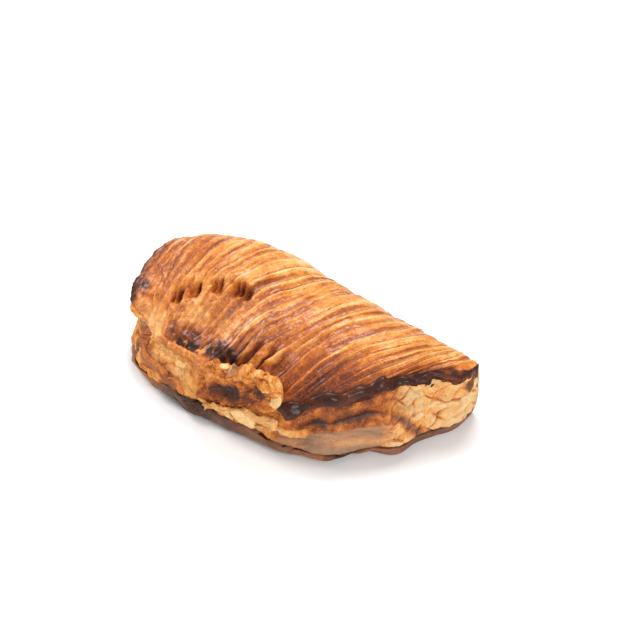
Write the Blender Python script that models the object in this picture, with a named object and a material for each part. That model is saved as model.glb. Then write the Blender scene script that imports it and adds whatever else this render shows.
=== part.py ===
"""Apple turnover: a half-moon of puff pastry folded over its filling and baked.

The fold runs along X at the back (+Y), the sealed curved edge faces -Y and the turnover rests on
z = 0.  Lengths below are millimetres; MM turns them into metres when the meshes are written.  The
whole pastry is one baked piece: a lofted body with its scored crust, layered edge and thin base,
to which the torn lip at the front and the larger flakes are fused.
"""

import bmesh
import bpy
import numpy as np

MM = 0.001

# Plan of the half moon.  Its origin is moved to the middle of the footprint at the end.
REACH_LEFT = 69.0  # from the middle of the fold to the left tip
REACH_RIGHT = 75.2
TIP_Y_LEFT = -26.0  # the two tips lie this far in front of the fold line
TIP_Y_RIGHT = -16.0
FRONT_Y = -79.0  # belly of the curved edge
FOLD_Y = -5.0
FOLD_SWEEP = 4.5  # how much further forward the fold lies at the right than in the middle
CURVE_POWER = 2.4  # fullness of the curved edge
FOLD_POWER = 3.2  # squareness of the folded edge
PLAN_CENTRE = (3.3, -43.5)

# Heights
RIM_Z = 28.5  # top of the sealed edge
RIM_THICKNESS = 2.6
RIM_ROUNDING = 1.5  # how far the rim's rounded edge stands out
RIM_WAVE = 0.9
FOLD_Z = 20.0  # widest level of the rounded fold
CREST_Z = 48.0
TIP_Z = 26.0
TIP_DROOP = 2.0  # how much lower the rim is at the two tips
CREST_PLACE = -0.22  # where along the length the crest is highest, from -1 to 1
CREST_SHARE = 0.55  # place of the crest between rim and fold
LEFT_FULLNESS, RIGHT_FULLNESS = 1.75, 1.1  # powers of the crest line's fall towards the two tips
CREST_FORMS = (  # place along the length, width, rise
    (-0.95, 0.06, 1.0),
    (-0.35, 0.20, 1.6),
    (-0.08, 0.19, -4.2),
    (0.5, 0.20, 1.5),
)
SWELL = 1.0  # broad unevenness of the crust
BASE_EDGE_Z = 2.0
BASE_CURLS = ((-38.0, 22.0, 3.0), (65.0, 8.0, 2.5))  # where along X the base turns up: x, width, rise
SOLE_INSET = 8.0  # the flat sole stops this far inside the outline
# The two tips: how far each stands out at its top, undercut, height below which, power
LEFT_TIP, RIGHT_TIP = (0.0, 1.5, 9.0, 2.0), (0.3, 1.8, 9.0, 2.0)

# Stretches of the curved edge: from x, to x, and half the length over which they fade
TORN = (-28.0, 24.0, 4.0)  # the rim is torn and the crust has sunk behind it
BURST = (-55.0, -14.0, 4.0)  # the crust has slid back and bares a flange of lower leaves
CREVICE = (-8.0, 23.0, 4.0)  # the crust dips behind the torn lip
BURNT_DROOP = (24.0, 36.0, 5.0)  # the charred rim sags
WAIST = (22.0, 58.0, 8.0)  # the edge is hollow under a ledge
DROOP_TORN, DROOP_BURST, DROOP_BURNT = 2.0, 4.0, 5.0
CREVICE_DEPTH, SUNK_DEPTH = 5.0, 2.0
RIM_SETBACK, BURST_SETBACK = 1.0, 4.0  # of the rim behind the base: everywhere, more where burst
RIM_SETBACK_STEPS = ((24.0, 56.0, 7.5), (48.0, 68.0, 5.0), (66.0, 73.0, -4.0))  # from x, to x, more
WAIST_DEPTH, WAIST_MORE = 1.4, 2.0
WAIST_PLACE, LEDGE_PLACE = (0.33, 0.14), (0.57, 0.09)  # share of the edge's height, and spread
LEDGE_SHARE = 0.45  # how far the ledge over the waist stands out, as a share of the waist's depth
UNEVENNESS = 1.3  # of the edge, in and out

# Forms that stand out from the edge or back from it: x, width, share of the height, spread, amount
EDGE_FORMS = (
    (74.0, 5.0, 0.45, 0.25, -1.5),
    (70.5, 4.5, 0.0, 0.50, -5.5),
    (55.5, 9.0, 0.0, 0.50, -4.2),
    (30.0, 9.0, 0.0, 0.50, 1.0),
    (5.0, 12.0, 0.0, 0.50, -0.6),
    (-16.0, 5.0, 0.0, 0.40, 2.0),
    (-44.0, 12.0, 0.0, 0.40, 2.4),
    (-55.0, 6.0, 0.57, 0.26, -10.0),
    (-55.0, 4.0, 1.0, 0.12, 3.5),
)

# Scoring: bands of crust between the knife cuts, leaning from front left to back right
BANDS = 30
BAND_FIRST, BAND_LAST = -0.95, 0.97
BAND_LEAN = 0.18
BAND_HEIGHT = 1.0
CUT_WIDTH = 0.2  # half width of a cut, as a share of a band
ROWS_PER_BAND = 3

# Holes that steam has burst in the crust: x, y, half length and half width of each, depth
PITS = (
    (-36.5, -55.8, 1.6, 1.7, 1.4),
    (-30.0, -54.0, 2.7, 2.0, 2.6),
    (-21.8, -51.2, 2.2, 2.8, 2.8),
    (-12.8, -48.0, 3.2, 3.0, 3.0),
)
PIT_ROW_SLOPE = 0.31
BULGE = 1.1  # height of the swelling behind the row of holes
BULGE_OFFSET, BULGE_WIDTH = 4.5, 3.0

# Layered edge
LEDGES = 5
LEDGE_RELIEF = 1.1
TIP_ROWS = 5
TIP_ROW_POWER = 3.0  # crowds the cross-sections towards the tips

# Leaves fused to the edge.  start and end are places along X; low and high are the heights of the
# foot and of the ragged top at those two places; lean is how far the top stands out.
LEAVES = (
    {"start": -11, "end": 26.5, "low": (12, 22), "high": (32, 36.5), "thickness": 4.2, "lean": -1.2},
    {"start": -55, "end": -20, "low": (6, 7), "high": (12, 13), "thickness": 3.0, "lean": 0.8},
    {"start": 32, "end": 65, "low": (14, 16), "high": (19.5, 21.5), "thickness": 2.6, "lean": 1.2},
    {"start": 52, "end": 72.5, "low": (12, 17), "high": (19, 25), "thickness": 2.4, "lean": 1.2},
    {"start": -9, "end": 25, "low": (6, 11), "high": (12, 19), "thickness": 3.2, "lean": 1.8},
)
LEAF_ROOT = 1.2  # how much deeper a leaf's foot sits than its top
LEAF_RELIEF = 0.9
LEAF_RAGGEDNESS = 0.16  # of the top, as a share of its height
LEAF_END_HEIGHT = 0.4  # height of a leaf at its two ends, as a share of its full height
LEAF_CUTS_ALONG, LEAF_CUTS_UP = 16, 4

# Columns round one cross-section
SIDE_COLUMNS, LIP_COLUMNS, FRONT_COLUMNS, BACK_COLUMNS, HEEL_COLUMNS, SOLE_COLUMNS = 12, 3, 18, 7, 4, 4


def smooth(low, high, x):
    """0 below low, 1 above high, an S-curve between."""
    t = np.clip((x - low) / (high - low), 0, 1)
    return t * t * (3 - 2 * t)


def hump(centre, width, x):
    return np.exp(-(((x - centre) / width) ** 2))


def window(low, high, edge, x):
    return smooth(low - edge, low + edge, x) * (1 - smooth(high - edge, high + edge, x))


def oval(s, power):
    return np.clip(1 - np.abs(s) ** power, 0, 1) ** (1 / power)


def noise(x, y, z, seed=0):
    """Smooth value noise from -1 to 1 on a unit lattice."""
    x, y, z = np.broadcast_arrays(x, y, z)
    place = np.stack([x, y, z], -1).astype(float) + seed * 17.31
    cell = np.floor(place).astype(np.int64)
    part = place - cell
    part = part * part * (3 - 2 * part)
    total = 0.0
    for corner in np.ndindex(2, 2, 2):
        key = (cell + corner) * np.array([73856093, 19349663, 83492791])
        key = key[..., 0] ^ key[..., 1] ^ key[..., 2]
        key = ((key ^ (key >> 13)) & 0x7FFFFFFF) * 1274126177
        value = ((key ^ (key >> 16)) & 0xFFFF) / 32767.5 - 1
        weight = np.where(corner, part, 1 - part).prod(-1)
        total = total + value * weight
    return total


# ---------------------------------------------------------------- plan of the half moon


def tip_y(s):
    return TIP_Y_LEFT + (TIP_Y_RIGHT - TIP_Y_LEFT) * smooth(-1, 1, s)


def lean(r):
    """Half of the shift between a band's two ends.  It dies out towards the tips."""
    return BAND_LEAN * smooth(-0.7, -0.05, r) * (1 - smooth(0.55, 1.0, r))


def along_x(s):
    return np.where(s < 0, s * REACH_LEFT, s * REACH_RIGHT)


def front_edge(r):
    s = np.clip(r - lean(r), -1, 1)
    return along_x(s), tip_y(s) - (tip_y(s) - FRONT_Y) * oval(s, CURVE_POWER)


def fold_edge(r):
    s = np.clip(r + lean(r), -1, 1)
    fold_y = FOLD_Y - FOLD_SWEEP * smooth(0.0, 0.6, s)
    return along_x(s), tip_y(s) + (fold_y - tip_y(s)) * oval(s, FOLD_POWER)


def outward(edge, r, side):
    """Unit normal of an edge in plan, pointing away from the pastry."""
    step = 1e-3
    x0, y0 = edge(np.clip(r - step, -1, 1))
    x1, y1 = edge(np.clip(r + step, -1, 1))
    length = np.hypot(x1 - x0, y1 - y0) + 1e-12
    return side * (y1 - y0) / length, -side * (x1 - x0) / length


# ---------------------------------------------------------------- stretches of the curved edge, by x


def torn(x):
    return window(*TORN, x)


def burst(x):
    return window(*BURST, x)


def droop(x):
    """How much lower the rim is than at its highest."""
    sag = DROOP_BURNT * window(*BURNT_DROOP, x) + DROOP_TORN * torn(x)
    return sag + DROOP_BURST * burst(x) * (1 - torn(x))


def rim_inset(x):
    """How far the top of the edge stands back from the base."""
    inset = RIM_SETBACK + BURST_SETBACK * burst(x)
    for start, end, more in RIM_SETBACK_STEPS:
        inset = inset + more * smooth(start, end, x)
    return inset


def edge_offset(x, h):
    """Outward offset of the layered edge from the outline, h being the share of its height."""
    waist = WAIST_DEPTH + WAIST_MORE * window(*WAIST, x)
    offset = -rim_inset(x) * smooth(0.2, 1.0, h)
    offset = offset - waist * hump(*WAIST_PLACE, h) * (1 - burst(x))
    offset = offset + LEDGE_SHARE * waist * hump(*LEDGE_PLACE, h)
    for centre, width, share, spread, amount in EDGE_FORMS:
        offset = offset + amount * hump(centre, width, x) * hump(share, spread, h)
    return offset


def foot_height(x):
    height = BASE_EDGE_Z
    for centre, width, rise in BASE_CURLS:
        height = height + rise * hump(centre, width, x)
    return height


def near_tip(r, side=1):
    """1 at the two tips, where front (side 1) and fold (side -1) meet in one upright line."""
    late = (r > 0) & (side > 0)
    return np.where(late, smooth(0.975, 1.0, np.abs(r)), smooth(0.9, 1.0, np.abs(r)))


def sole_inset(r):
    """The sole's inset, which shrinks at the tips so that its two sides don't cross."""
    return SOLE_INSET * (1 - 0.9 * smooth(0.7, 0.96, np.abs(r)))


def tip_offset(x, z):
    """How far the tips stand out at their top and fall back towards the base."""
    left, right = (
        out - undercut * np.clip(1 - z / height, 0, 1) ** power
        for out, undercut, height, power in (LEFT_TIP, RIGHT_TIP)
    )
    return np.where(x > 0, right, left)


def crest_height(r):
    left = oval(np.clip((CREST_PLACE - r) / (1 + CREST_PLACE), 0, 1), LEFT_FULLNESS)
    right = 1 - np.clip((r - CREST_PLACE) / (1 - CREST_PLACE), 0, 1) ** RIGHT_FULLNESS
    height = TIP_Z + (CREST_Z - TIP_Z) * np.where(r < CREST_PLACE, left, right)
    for place, width, rise in CREST_FORMS:
        height = height + rise * hump(place, width, r)
    return height


def steam_holes(x, y):
    """Rise of the crust at the slanting row of burst holes and at the swelling behind them."""
    length = np.hypot(1, PIT_ROW_SLOPE)
    depth = 0.0
    for pit_x, pit_y, half_length, half_width, deep in PITS:
        along = ((x - pit_x) + PIT_ROW_SLOPE * (y - pit_y)) / length
        across = ((y - pit_y) - PIT_ROW_SLOPE * (x - pit_x)) / length
        width = np.where(across > 0, 0.7, 1.4) * half_width
        pit = np.exp(-(np.abs(along / half_length) ** 3) - np.abs(across / width) ** 2.5)
        depth = np.maximum(depth, deep * pit)
    last_x, last_y = PITS[-1][:2]
    across = (y - last_y - PIT_ROW_SLOPE * (x - last_x)) / length
    row = window(PITS[0][0] - 3.5, last_x + 7, 4.0, x)
    bulge = hump(BULGE_OFFSET, BULGE_WIDTH, across) - 0.7 * window(-13.0, -2.0, 3.0, across)
    return BULGE * row * bulge - depth


# ---------------------------------------------------------------- one cross-section


def shifted(edge, r, side, offset, z):
    """Points beside an edge.  At the tips every edge keeps to the same upright line."""
    x, y = edge(r)
    nx, ny = outward(edge, r, side)
    tip = near_tip(r, side)
    offset = offset * (1 - tip) + tip_offset(x, z) * tip
    return x + nx * offset, y + ny * offset, z + 0 * x


def side_points(r, h):
    """Layered edge, from the base (h = 0) to the underside of the rim (h = 1)."""
    x, y = front_edge(r)
    foot = foot_height(x)
    z = foot + (RIM_Z - RIM_THICKNESS - droop(x) - TIP_DROOP * near_tip(r) - foot) * h
    uneven = UNEVENNESS * noise(x / 11, y / 11, h * 1.5, 3) * (1 - 0.6 * smooth(0.5, 1, h))
    return shifted(front_edge, r, 1, edge_offset(x, h) + uneven, z)


def rim_points(r, t):
    """Rounded lip of the crust, from its underside (t = 0) to its top (t = 1)."""
    x, y = front_edge(r)
    lip = RIM_ROUNDING * (1 - 0.8 * torn(x))
    offset = -rim_inset(x) + lip * np.sin(np.pi * (0.12 + 0.72 * t)) - 1.2 * t
    z = RIM_Z - droop(x) - RIM_THICKNESS * (1 - t) ** 1.3
    z = z + RIM_WAVE * noise(x / 9, y / 9, 0.0, 5) - TIP_DROOP * near_tip(r)
    return shifted(front_edge, r, 1, offset, z)


def crust_points(r, f):
    """Crust from the rim (f = 0) over the crest to the widest level of the fold (f = 1)."""
    x0, y0, z0 = rim_points(r, np.float64(1.0))
    x1, y1, _ = heel_points(r, np.float64(0.0))
    eased = 1 - (1 - f) ** 1.5
    x = x0 + (x1 - x0) * eased
    y = y0 + (y1 - y0) * f
    crest = np.maximum(crest_height(r), z0 + 0.5)
    rise = 1 - np.clip(1 - f / CREST_SHARE, 0, 1) ** 2.1
    fall = np.clip(1 - (np.clip(f - CREST_SHARE, 0, 1) / (1 - CREST_SHARE)) ** 2, 0, 1) ** 0.5
    z = np.where(f < CREST_SHARE, z0 + (crest - z0) * rise, FOLD_Z + (crest - FOLD_Z) * fall)
    z = z - CREVICE_DEPTH * window(*CREVICE, x0) * hump(0.045, 0.04, f)
    z = z - SUNK_DEPTH * torn(x0) * hump(0.12, 0.1, f)
    open_crust = smooth(0.05, 0.3, f) * (1 - smooth(0.8, 1.0, f))
    z = z + (SWELL * noise(x / 26, y / 26, 0.5, 7) + steam_holes(x, y)) * open_crust
    return x, y, z


def heel_points(r, t):
    """Lower quarter of the fold, from its widest level (t = 0) to the sole (t = 1)."""
    angle = t * np.pi / 2
    offset = -sole_inset(r) * (1 - np.cos(angle))
    return shifted(fold_edge, r, -1, offset, FOLD_Z * (1 - np.sin(angle)))


def sole_points(r, t):
    """Underside, from the foot of the fold (t = 0) to the front of the base (t = 1)."""
    x0, y0, _ = heel_points(r, np.float64(1.0))
    x1, y1, z1 = side_points(r, np.float64(0.0))
    nx, ny = outward(front_edge, r, 1)
    inset = 0.8 * sole_inset(r)
    x2, y2 = x1 - nx * inset, y1 - ny * inset
    flat = np.clip(t / 0.75, 0, 1)
    turn = np.clip((t - 0.75) / 0.25, 0, 1)
    x = x0 + (x2 - x0) * flat + (x1 - x2) * turn
    y = y0 + (y2 - y0) * flat + (y1 - y2) * turn
    return x, y, z1 * turn**2


def ring_stations():
    """(points function, parameter, how much scoring shows, how much layering shows) round a section."""
    stations = []
    for h in np.linspace(0, 1, SIDE_COLUMNS):
        stations.append((side_points, h, 0.0, np.sin(np.pi * np.clip(h, 0.02, 0.98))))
    for t in np.linspace(0, 1, LIP_COLUMNS + 2)[1:-1]:
        stations.append((rim_points, t, 0.0, 0.0))
    for t in np.linspace(0, 1, FRONT_COLUMNS):
        f = CREST_SHARE * (0.02 + 0.98 * t**1.25)
        stations.append((crust_points, f, smooth(0.04, 0.12, f), 0.0))
    for t in np.linspace(0, 1, BACK_COLUMNS + 1)[1:]:
        f = CREST_SHARE + (1 - CREST_SHARE) * np.sin(t * np.pi / 2)
        stations.append((crust_points, f, 1.0 - 0.5 * t, 0.0))
    for t in np.linspace(0, 1, HEEL_COLUMNS + 1)[1:]:
        stations.append((heel_points, t, 0.5 * (1 - t), 0.0))
    for t in np.linspace(0, 1, SOLE_COLUMNS + 1)[1:-1]:
        stations.append((sole_points, t, 0.0, 0.0))
    return stations


def row_places():
    """Places of the cross-sections along the length: dense at the tips, a few in every band."""
    count = BANDS * ROWS_PER_BAND
    bands = BAND_FIRST + (BAND_LAST - BAND_FIRST) * np.arange(count + 1) / count
    steps = np.arange(1, TIP_ROWS + 1) / (TIP_ROWS + 1)
    left = -1 + (1 + BAND_FIRST) * steps**TIP_ROW_POWER
    right = 1 - (1 - BAND_LAST) * steps[::-1] ** TIP_ROW_POWER
    return np.concatenate([left, bands, right])


def band_phase(r):
    """0 in each knife cut and 0.5 in the middle of each band."""
    return (r - BAND_FIRST) / (BAND_LAST - BAND_FIRST) * BANDS


def scoring(r, x, y):
    """Height of the crust's bands over the cuts between them."""
    phase = band_phase(r)
    cut = np.abs(phase - np.round(phase))
    inside = window(BAND_FIRST, BAND_LAST, 0.02, r)
    uneven = 1 + 0.45 * noise(x / 14, y / 14, 0.0, 11)
    return BAND_HEIGHT * inside * uneven * (0.5 - np.exp(-((cut / CUT_WIDTH) ** 2)))


def layering(x, y, h):
    """Ledges of the pastry's leaves, wandering up and down along the edge."""
    level = h * LEDGES + 0.9 * noise(x / 24, y / 24, 0.0, 13)
    leaf = np.floor(level)
    step = smooth(0.6, 1.0, level - leaf)
    low = noise(x / 13, y / 13, leaf * 3.7, 17)
    high = noise(x / 13, y / 13, (leaf + 1) * 3.7, 17)
    return LEDGE_RELIEF * (low + (high - low) * step)


def lofted_body():
    """The body as a ball of rows and columns, each vertex moved onto the pastry's surface."""
    stations, places = ring_stations(), row_places()
    columns, rows = len(stations), len(places)
    grid = np.zeros((rows, columns, 3))
    relief = np.zeros((rows, columns))
    for j, (points, t, scored, layered) in enumerate(stations):
        x, y, z = points(places, np.float64(t))
        grid[:, j] = np.stack([x, y, z], -1)
        if scored:
            relief[:, j] = scored * scoring(places, x, y)
        if layered:
            relief[:, j] = layered * layering(x, y, t)
    along = np.gradient(grid, axis=0)
    around = np.roll(grid, -1, axis=1) - np.roll(grid, 1, axis=1)
    facing = np.cross(along, around)
    facing /= np.linalg.norm(facing, axis=-1, keepdims=True) + 1e-12
    grid += facing * relief[..., None]
    bm = bmesh.new()
    bmesh.ops.create_uvsphere(bm, u_segments=columns, v_segments=rows + 1, radius=1.0)
    for vertex in bm.verts:
        polar = np.arccos(np.clip(vertex.co.z, -1, 1)) / np.pi
        row = round(polar * (rows + 1)) - 1
        column = round(np.arctan2(vertex.co.y, vertex.co.x) / (2 * np.pi) * columns) % columns
        if 0 <= row < rows:
            vertex.co = grid[row, column] * MM
        else:
            vertex.co = grid[0 if row < 0 else -1].mean(0) * MM
    bmesh.ops.recalc_face_normals(bm, faces=bm.faces)
    return bm


# ---------------------------------------------------------------- torn lip and flakes


def leaf_of_pastry(leaf, seed):
    """A thin ragged leaf standing on the layered edge."""
    bm = bmesh.new()
    bmesh.ops.create_cube(bm, size=2.0)
    lengthwise = [e for e in bm.edges if abs(e.verts[0].co.x - e.verts[1].co.x) > 1]
    bmesh.ops.subdivide_edges(bm, edges=lengthwise, cuts=LEAF_CUTS_ALONG, use_grid_fill=True)
    upright = [e for e in bm.edges if abs(e.verts[0].co.z - e.verts[1].co.z) > 1]
    bmesh.ops.subdivide_edges(bm, edges=upright, cuts=LEAF_CUTS_UP, use_grid_fill=True)
    places = np.linspace(-1, 1, 2001)
    edge_x = front_edge(places)[0]
    for vertex in bm.verts:
        a, b = (vertex.co.x + 1) / 2, (vertex.co.z + 1) / 2
        r = np.interp(leaf["start"] + (leaf["end"] - leaf["start"]) * a, edge_x, places)
        x, y = front_edge(r)
        nx, ny = outward(front_edge, r, 1)
        low, high = np.interp(a, (0, 1), leaf["low"]), np.interp(a, (0, 1), leaf["high"])
        arch = LEAF_END_HEIGHT + (1 - LEAF_END_HEIGHT) * np.clip(4 * a * (1 - a), 0, 1) ** 0.3
        ragged = 1 + LEAF_RAGGEDNESS * noise(x / 3.5, seed, 0.0, 23) * b
        z = low + (high - low) * b * arch * ragged
        h = (z - foot_height(x)) / (RIM_Z - RIM_THICKNESS - droop(x) - foot_height(x))
        offset = edge_offset(x, np.clip(h, 0, 1)) - LEAF_ROOT * (1 - b)
        offset = offset + leaf["lean"] * b**2 + LEAF_RELIEF * noise(x / 5, z / 4, seed, 29)
        offset = offset - vertex.co.y * 0.5 * leaf["thickness"] * (1.2 - 0.5 * b)
        vertex.co = MM * np.array([x + nx * offset, y + ny * offset, z])
    bmesh.ops.recalc_face_normals(bm, faces=bm.faces)
    return bm


def keep_outer_skin(bm):
    """Delete the small closed skins that fusing leaves, such as those round sealed hollows."""
    unseen = set(bm.verts)
    skins = []
    while unseen:
        reached = [unseen.pop()]
        skin = []
        while reached:
            vertex = reached.pop()
            skin.append(vertex)
            for edge in vertex.link_edges:
                other = edge.other_vert(vertex)
                if other in unseen:
                    unseen.remove(other)
                    reached.append(other)
        skins.append(skin)
    skins.sort(key=len)
    for skin in skins[:-1]:
        bmesh.ops.delete(bm, geom=skin, context="VERTS")


def add_object(name, bm, material):
    mesh = bpy.data.meshes.new(name)
    bm.to_mesh(mesh)
    bm.free()
    thing = bpy.data.objects.new(name, mesh)
    thing.data.materials.append(material)
    bpy.context.scene.collection.objects.link(thing)
    return thing


def baked_pastry():
    material = bpy.data.materials.new("baked_pastry")
    material.use_nodes = True
    shader = material.node_tree.nodes["Principled BSDF"]
    shader.inputs["Base Color"].default_value = (0.55, 0.24, 0.07, 1.0)
    shader.inputs["Roughness"].default_value = 0.5
    shader.inputs["Metallic"].default_value = 0.0
    return material


def main():
    for thing in list(bpy.data.objects):
        bpy.data.objects.remove(thing, do_unlink=True)
    material = baked_pastry()
    body = add_object("pastry", lofted_body(), material)
    group = bpy.data.collections.new("leaves")
    for index, leaf in enumerate(LEAVES):
        loose = add_object(f"leaf_{index}", leaf_of_pastry(leaf, seed=index), material)
        bpy.context.scene.collection.objects.unlink(loose)
        group.objects.link(loose)
    fuse = body.modifiers.new("fuse", "BOOLEAN")
    fuse.operation = "UNION"
    fuse.operand_type = "COLLECTION"
    fuse.collection = group
    fuse.solver = "EXACT"
    fused = bpy.data.meshes.new_from_object(
        body.evaluated_get(bpy.context.evaluated_depsgraph_get())
    )
    body.modifiers.clear()
    body.data = fused
    for loose in list(group.objects):
        bpy.data.objects.remove(loose, do_unlink=True)
    bpy.data.collections.remove(group)
    bm = bmesh.new()
    bm.from_mesh(fused)
    keep_outer_skin(bm)
    bmesh.ops.translate(bm, verts=bm.verts, vec=(-MM * PLAN_CENTRE[0], -MM * PLAN_CENTRE[1], 0.0))
    bm.to_mesh(fused)
    bm.free()
    body.data.shade_smooth()
    body.data.set_sharp_from_angle(angle=np.radians(40))


main()
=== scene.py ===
"""Apple turnover: a half moon of puff pastry, scored, glazed and baked, lying on its flat base.

Lengths are millimetres in the pastry's drawing frame, whose X runs along the fold; placed() turns
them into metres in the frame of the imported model.
"""

import math

import bmesh
import bpy
import numpy as np
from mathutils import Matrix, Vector


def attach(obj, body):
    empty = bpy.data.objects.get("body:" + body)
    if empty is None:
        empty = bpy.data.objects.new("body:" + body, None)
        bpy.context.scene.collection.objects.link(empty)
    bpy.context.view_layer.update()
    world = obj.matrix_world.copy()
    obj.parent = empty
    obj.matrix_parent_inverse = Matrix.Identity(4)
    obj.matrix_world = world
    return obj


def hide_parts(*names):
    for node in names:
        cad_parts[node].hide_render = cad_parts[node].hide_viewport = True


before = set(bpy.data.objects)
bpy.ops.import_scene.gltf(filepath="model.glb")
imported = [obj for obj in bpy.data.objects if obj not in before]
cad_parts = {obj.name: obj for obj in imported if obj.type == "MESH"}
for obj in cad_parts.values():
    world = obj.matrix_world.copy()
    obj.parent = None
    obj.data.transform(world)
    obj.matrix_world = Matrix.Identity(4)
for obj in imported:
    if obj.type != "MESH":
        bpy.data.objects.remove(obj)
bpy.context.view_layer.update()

MM = 0.001
PLAN_CENTRE = np.array([3.3, -43.5, 0.0])  # middle of the footprint in the drawing frame


# ---------------------------------------------------------------- studio
# A white table in a white room.  One large soft window behind the pastry lights its top, and a
# weaker one in front lifts the layered edge.  The camera looks down over the front right.

CAMERA_AZIMUTH, CAMERA_ELEVATION, CAMERA_DISTANCE = 34.0, 38.0, 0.7
CAMERA_TARGET = (np.array([-8.0, 0.0, 0.0]) - PLAN_CENTRE) * MM
CAMERA_LENS = 94.5


def direction(azimuth, elevation):
    """Unit vector from the pastry towards a place that far round and up.  Azimuth 0 is the front."""
    a, e = math.radians(azimuth), math.radians(elevation)
    return Vector((math.sin(a) * math.cos(e), -math.cos(a) * math.cos(e), math.sin(e)))


def aimed(name, data, azimuth, elevation, distance, target):
    thing = bpy.data.objects.new(name, data)
    bpy.context.scene.collection.objects.link(thing)
    away = direction(azimuth, elevation)
    thing.location = Vector(target) + away * distance
    thing.rotation_euler = away.to_track_quat("Z", "Y").to_euler()
    return thing


def window_light(name, azimuth, elevation, size, power):
    lamp = bpy.data.lights.new(name, "AREA")
    lamp.shape = "DISK"
    lamp.size = size
    lamp.energy = power
    return aimed(name, lamp, azimuth, elevation, 0.9, (0.0, 0.0, 0.02))


camera = bpy.data.cameras.new("camera")
camera.lens = CAMERA_LENS
bpy.context.scene.camera = aimed(
    "camera", camera, CAMERA_AZIMUTH, CAMERA_ELEVATION, CAMERA_DISTANCE, CAMERA_TARGET
)
window_light("window_behind", 200.0, 60.0, 0.45, 5.6)
window_light("window_left", -80.0, 45.0, 0.4, 5.0)
window_light("window_front", 60.0, 30.0, 0.5, 5.0)

world = bpy.data.worlds.new("white_room")
world.use_nodes = True
world.node_tree.nodes["Background"].inputs["Color"].default_value = (1.0, 1.0, 1.0, 1.0)
world.node_tree.nodes["Background"].inputs["Strength"].default_value = 0.4
bpy.context.scene.world = world
bpy.context.scene.view_settings.view_transform = "Standard"

bm = bmesh.new()
bmesh.ops.create_circle(bm, cap_ends=True, segments=64, radius=3.0)
bmesh.ops.translate(bm, verts=bm.verts, vec=(0.0, 0.0, -0.0002))
table_mesh = bpy.data.meshes.new("table")
bm.to_mesh(table_mesh)
bm.free()
table = bpy.data.objects.new("table", table_mesh)
bpy.context.scene.collection.objects.link(table)
white = bpy.data.materials.new("white_table")
white.use_nodes = True
white.node_tree.nodes["Principled BSDF"].inputs["Base Color"].default_value = (0.92, 0.92, 0.92, 1.0)
white.node_tree.nodes["Principled BSDF"].inputs["Roughness"].default_value = 0.9
table_mesh.materials.append(white)


# ---------------------------------------------------------------- glazed crust
# The top sheet of the folded dough: brushed with egg, scored with a knife and baked until the strips
# between the cuts are dark and the opened cuts stay golden.  Its sealed rim is burnt at the right
# and at the left tip, and steam has burst a slanting row of holes in it.

REACH_LEFT, REACH_RIGHT = 69.0, 75.2
TIP_Y_LEFT, TIP_Y_RIGHT = -26.0, -16.0
FRONT_Y, FOLD_Y, FOLD_SWEEP = -79.0, -5.0, 4.5
CURVE_POWER, FOLD_POWER = 2.4, 3.2
RIM_Z, RIM_THICKNESS, RIM_ROUNDING, RIM_WAVE = 28.5, 2.6, 1.5, 0.9
FOLD_Z, CREST_Z, TIP_Z, TIP_DROOP = 20.0, 48.0, 26.0, 2.0
CREST_PLACE, CREST_SHARE = -0.22, 0.55
LEFT_FULLNESS, RIGHT_FULLNESS = 1.75, 1.1
CREST_FORMS = (  # place along the length, width, rise
    (-0.95, 0.06, 1.0),
    (-0.35, 0.2, 1.6),
    (-0.08, 0.19, -4.2),
    (0.5, 0.2, 1.5),
)
BASE_EDGE_Z, SOLE_INSET = 2.0, 8.0
BASE_CURLS = ((-38.0, 22.0, 3.0), (65.0, 8.0, 2.5))  # x, width, rise

# Stretches of the curved edge: from x, to x, and half the length over which they fade
TORN = (-28.0, 24.0, 4.0)
BURST = (-55.0, -14.0, 4.0)
CREVICE = (-8.0, 23.0, 4.0)
BURNT_DROOP = (24.0, 36.0, 5.0)
WAIST = (22.0, 58.0, 8.0)
EDGE_FORMS = (  # x, width, share of the height, spread, how far it stands out
    (74.0, 5.0, 0.45, 0.25, -1.5),
    (70.5, 4.5, 0.0, 0.5, -5.5),
    (55.5, 9.0, 0.0, 0.5, -4.2),
    (30.0, 9.0, 0.0, 0.5, 1.0),
    (5.0, 12.0, 0.0, 0.5, -0.6),
    (-16.0, 5.0, 0.0, 0.4, 2.0),
    (-44.0, 12.0, 0.0, 0.4, 2.4),
    (-55.0, 6.0, 0.57, 0.26, -10.0),
    (-55.0, 4.0, 1.0, 0.12, 3.5),
)
BANDS, BAND_FIRST, BAND_LAST, BAND_LEAN = 30, -0.95, 0.97, 0.18
PITS = (  # x, y, half length along the row, depth
    (-37.0, -56.4, 2.5, 2.6),
    (-30.3, -53.6, 2.6, 3.0),
    (-21.6, -50.2, 2.6, 3.2),
    (-12.4, -46.9, 3.7, 3.2),
)
PIT_ROW_SLOPE = 0.31


def smooth(low, high, x):
    """0 below low, 1 above high, an S-curve between."""
    t = np.clip((x - low) / (high - low), 0, 1)
    return t * t * (3 - 2 * t)


def fading(low, high, x):
    """1 below low, 0 above high, an S-curve between."""
    return 1 - smooth(low, high, x)


def hump(centre, width, x):
    """1 at the centre, a bell that falls to a third at one width from it."""
    return np.exp(-(((x - centre) / width) ** 2))


def window(low, high, edge, x):
    """1 between low and high, fading over half a length edge on either side of both."""
    return smooth(low - edge, low + edge, x) * fading(high - edge, high + edge, x)


def oval(s, power):
    return np.clip(1 - np.abs(s) ** power, 0, 1) ** (1 / power)


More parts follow.
